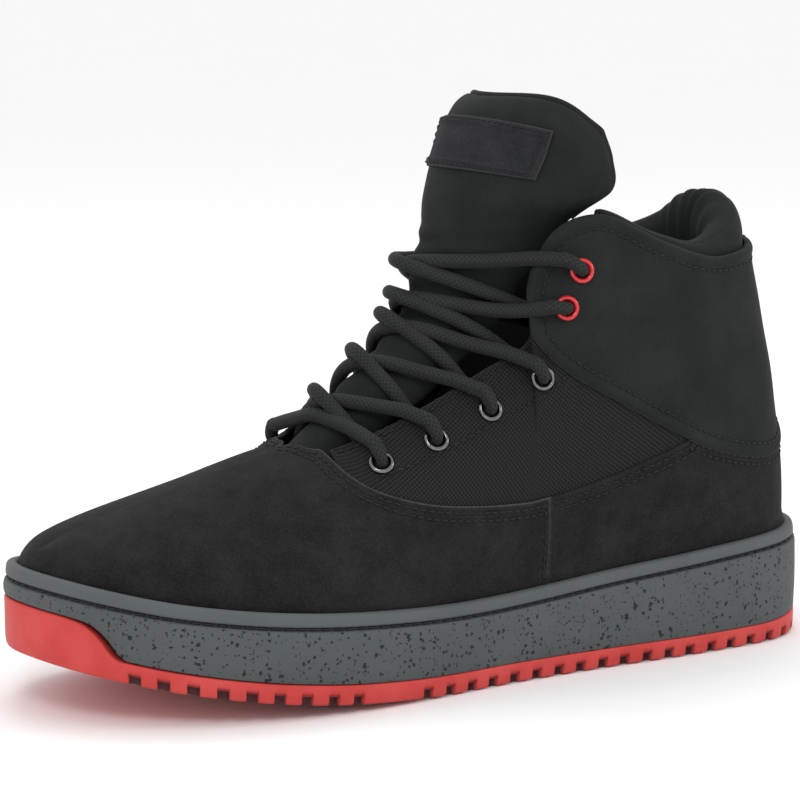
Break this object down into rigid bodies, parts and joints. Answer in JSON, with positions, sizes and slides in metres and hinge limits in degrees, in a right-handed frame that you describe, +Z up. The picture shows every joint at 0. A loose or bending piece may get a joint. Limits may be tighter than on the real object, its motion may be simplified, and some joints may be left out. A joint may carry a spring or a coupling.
{
  "type": "high top sneaker",
  "caption": "Left basketball high top with a cupsole, suede toe and heel, canvas quarters, padded collar and tall padded tongue, laced through metal eyelets.",
  "frame": {"origin": "centre of the footprint's bounding box, on the ground", "axes": "+X towards the heel and -X towards the toe, -Y towards the lateral (outer) side, +Z up"},
  "size_m": [0.301, 0.1106, 0.198],
  "materials": {
    "suede": "black suede, napped, fully rough",
    "canvas": "black plain-weave canvas, matte",
    "textile": "black backed knit textile, matte",
    "red_rubber": "coral red moulded rubber, satin",
    "grey_rubber": "grey moulded rubber with dark specks, satin",
    "foam": "closed-cell foam",
    "board": "fibre board",
    "lining": "dark brushed lining cloth",
    "gunmetal": "dark plated, semi-gloss",
    "red_metal": "red enamel, gloss",
    "cord": "braided polyester, matte",
    "tip": "clear-coated black plastic film",
    "patch": "dark grey suede patch"
  },
  "bodies": {
    "shoe": {"outsole": "red_rubber", "cupsole": "grey_rubber", "midsole_foam": "foam", "lasting_board": "board", "insole": "lining", "vamp": "suede", "heel_panel": "suede", "toe_puff": "board", "heel_counter": "board", "quarter_lateral": "canvas", "quarter_medial": "canvas", "ankle_panel_lateral": "textile", "ankle_panel_medial": "textile", "heel_stay": "textile", "lining": "lining", "collar_padding": "textile", "tongue_base": "textile", "lace": "cord", "aglet_medial": "tip", "aglet_lateral": "tip", "eyelet_lateral_1": "gunmetal", "eyelet_lateral_2": "gunmetal", "eyelet_lateral_3": "gunmetal", "eyelet_lateral_4": "gunmetal", "eyelet_lateral_5": "red_metal", "eyelet_lateral_6": "red_metal", "eyelet_medial_1": "gunmetal", "eyelet_medial_2": "gunmetal", "eyelet_medial_3": "gunmetal", "eyelet_medial_4": "gunmetal", "eyelet_medial_5": "red_metal", "eyelet_medial_6": "red_metal"},
    "tongue_flap": {"tongue_top": "textile", "tongue_label": "patch"}
  },
  "joints": [
    {"name": "tongue_flap_flex", "type": "hinge", "parent": "shoe", "child": "tongue_flap", "pos_m": [0.004, 0, 0.15], "axis": [0, -1, 0], "range_deg": [0, 30], "stiffness_Nm_per_rad": 0.06}
  ]
}
